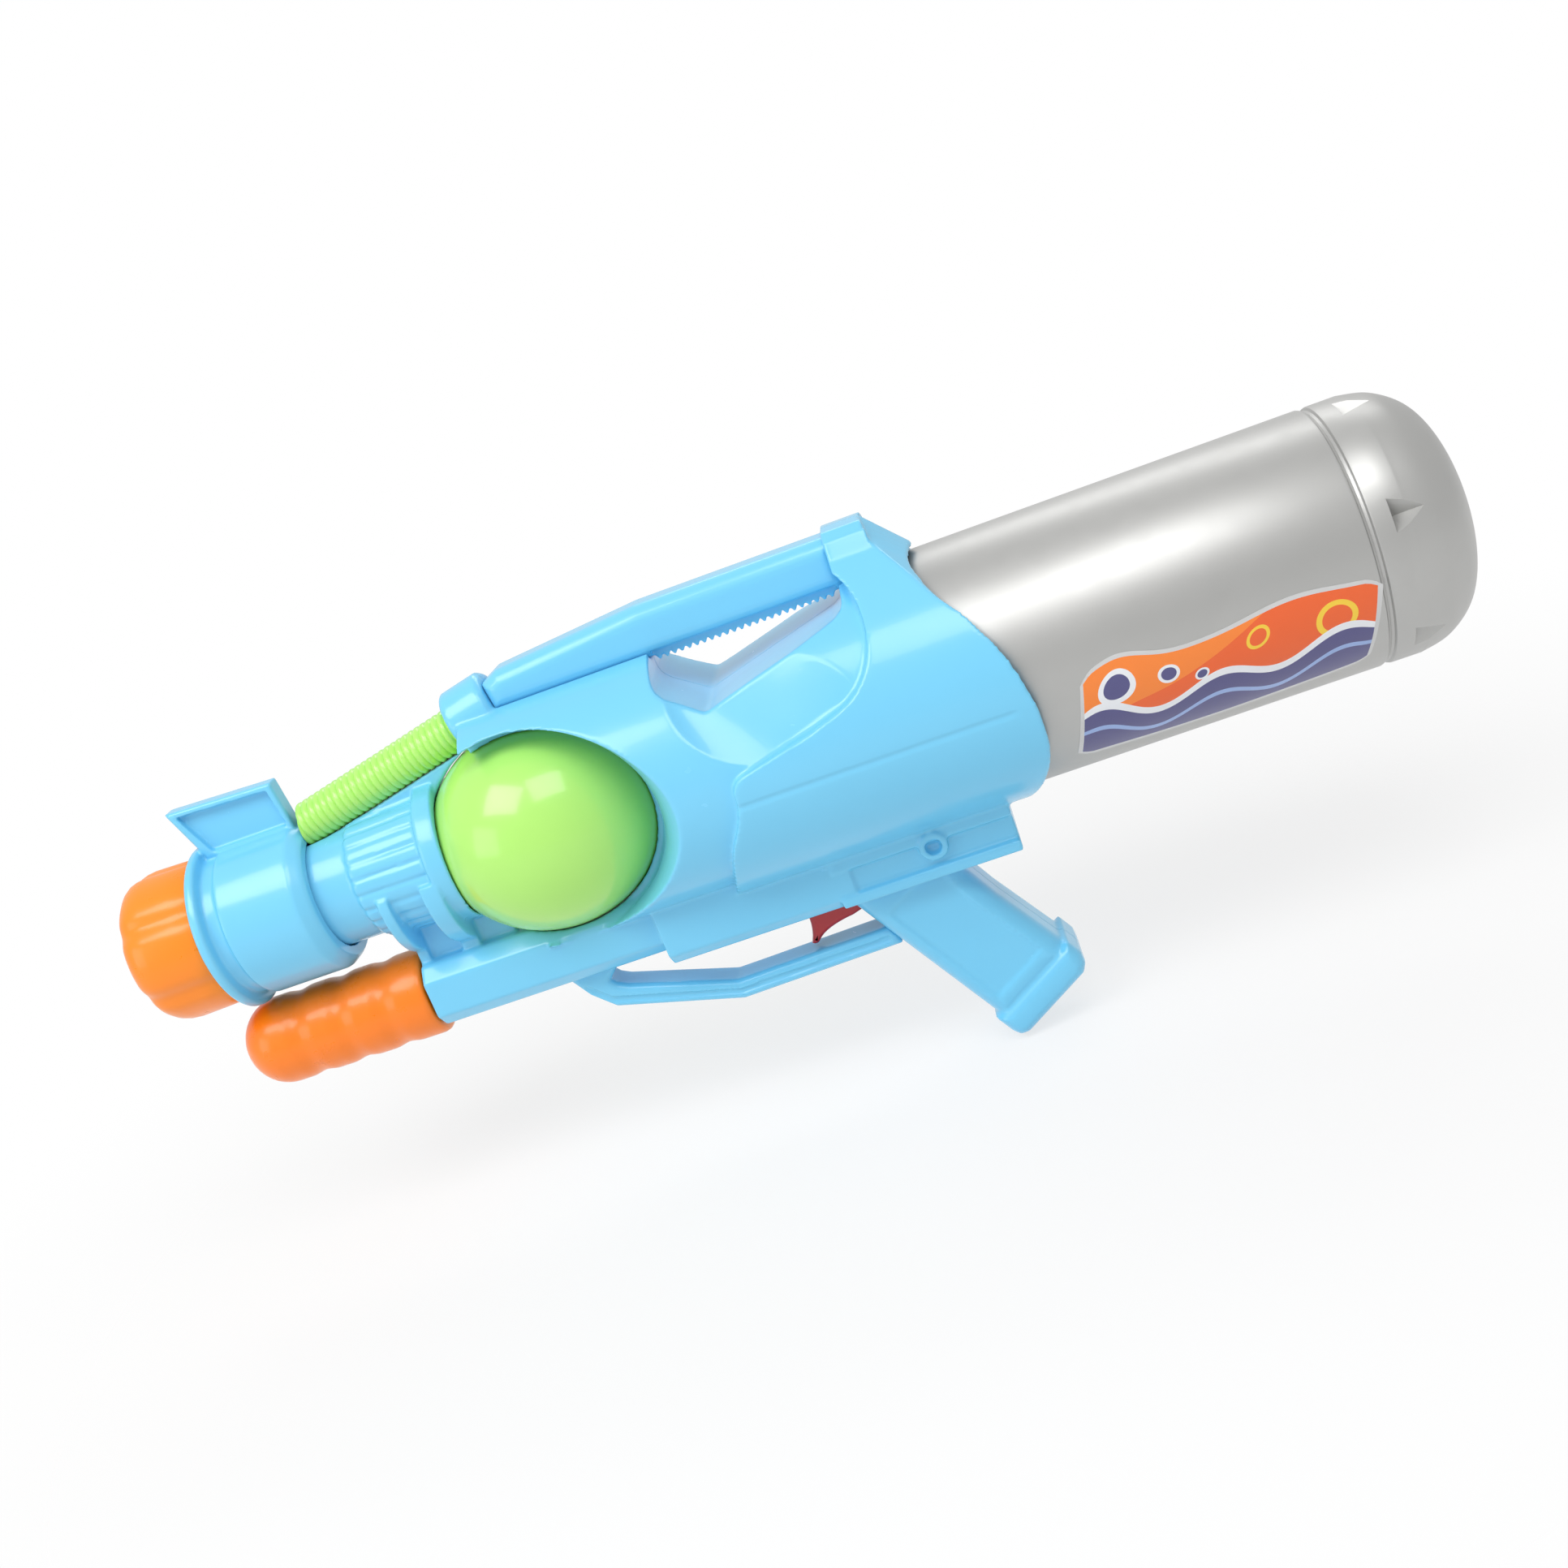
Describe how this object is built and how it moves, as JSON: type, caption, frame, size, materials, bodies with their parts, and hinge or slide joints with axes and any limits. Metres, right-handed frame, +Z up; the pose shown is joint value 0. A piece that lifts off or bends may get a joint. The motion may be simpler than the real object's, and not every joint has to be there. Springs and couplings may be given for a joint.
{
  "type": "water squirter",
  "caption": "Pump-up toy water squirter with a two-half moulded body, turning nozzle, sliding pump handle, trigger valve, round pressure bulb and a screw-on rear tank.",
  "frame": {"origin": "under the middle of the length, level with the lowest edge of the grip", "axes": "+X from the nozzle back to the tank, +Z up, +Y to the side that carries the screw heads"},
  "size_m": [0.57, 0.115, 0.2293],
  "materials": {
    "sky_blue_plastic": "glossy injection-moulded plastic",
    "lime_green_plastic": "glossy blow-moulded plastic",
    "orange_plastic": "semi-gloss injection-moulded plastic",
    "red_plastic": "glossy injection-moulded plastic",
    "silver_plastic": "satin silver blow-moulded plastic",
    "white_plastic": "natural moulded plastic",
    "black_rubber": "moulded rubber",
    "clear_hose": "milky soft tube",
    "steel": "zinc-plated steel"
  },
  "bodies": {
    "body": {"left_body_shell": "sky_blue_plastic", "right_body_shell": "sky_blue_plastic", "carry_rail": "sky_blue_plastic", "hand_guard": "sky_blue_plastic", "front_collar": "sky_blue_plastic", "nozzle_seat": "white_plastic", "barrel_tube": "clear_hose", "ribbed_hose": "lime_green_plastic", "pressure_bulb": "lime_green_plastic", "feed_tube": "clear_hose", "rod_guide": "white_plastic", "pump_cylinder": "white_plastic", "air_hose": "clear_hose", "trigger_pin": "steel", "valve_body": "white_plastic", "valve_spring": "steel", "water_hose": "clear_hose", "tank_socket": "white_plastic", "air_valve": "black_rubber", "dip_tube": "clear_hose", "body_screw_01": "steel", "body_screw_02": "steel", "body_screw_03": "steel", "body_screw_04": "steel", "body_screw_05": "steel", "body_screw_06": "steel", "body_screw_07": "steel", "body_screw_08": "steel"},
    "nozzle": {"nozzle_cap": "orange_plastic"},
    "pump": {"pump_handle": "orange_plastic", "pump_rod": "white_plastic", "pump_piston": "white_plastic", "piston_ring": "black_rubber"},
    "trigger_lever": {"trigger": "red_plastic"},
    "plunger": {"valve_plunger": "white_plastic", "valve_ring": "black_rubber"},
    "gasket": {"tank_gasket": "black_rubber"},
    "bottle": {"tank": "silver_plastic"}
  },
  "joints": [
    {"name": "nozzle_turn", "type": "hinge", "parent": "body", "child": "nozzle", "pos_m": [-0.265, 0, 0.15532], "axis": [1, 0, 0], "range_deg": [0, 180]},
    {"name": "pump_slide", "type": "slide", "parent": "body", "child": "pump", "axis": [-1, 0, 0], "range_m": [0, 0.095]},
    {"name": "trigger_pull", "type": "hinge", "parent": "body", "child": "trigger_lever", "pos_m": [-0.009, 0, 0.09132], "axis": [0, -1, 0], "range_deg": [0, 14], "stiffness_Nm_per_rad": 0.3, "springref_deg": -11.46},
    {"name": "plunger_push", "type": "slide", "parent": "body", "child": "plunger", "axis": [1, 0, 0], "range_m": [0, 0.0043], "deforming": ["valve_spring"]},
    {"name": "tank_feed", "type": "slide", "parent": "body", "child": "gasket", "axis": [1, 0, 0], "range_m": [0, 0.0061]},
    {"name": "tank_turn", "type": "hinge", "parent": "gasket", "child": "bottle", "pos_m": [0.038, 0, 0.15532], "axis": [1, 0, 0], "range_deg": [0, 540]}
  ],
  "couplings": [
    {"joint": "plunger_push", "follows": "trigger_pull", "m_per_rad": 0.0172},
    {"joint": "tank_feed", "follows": "tank_turn", "m_per_rad": 0.00063662}
  ]
}
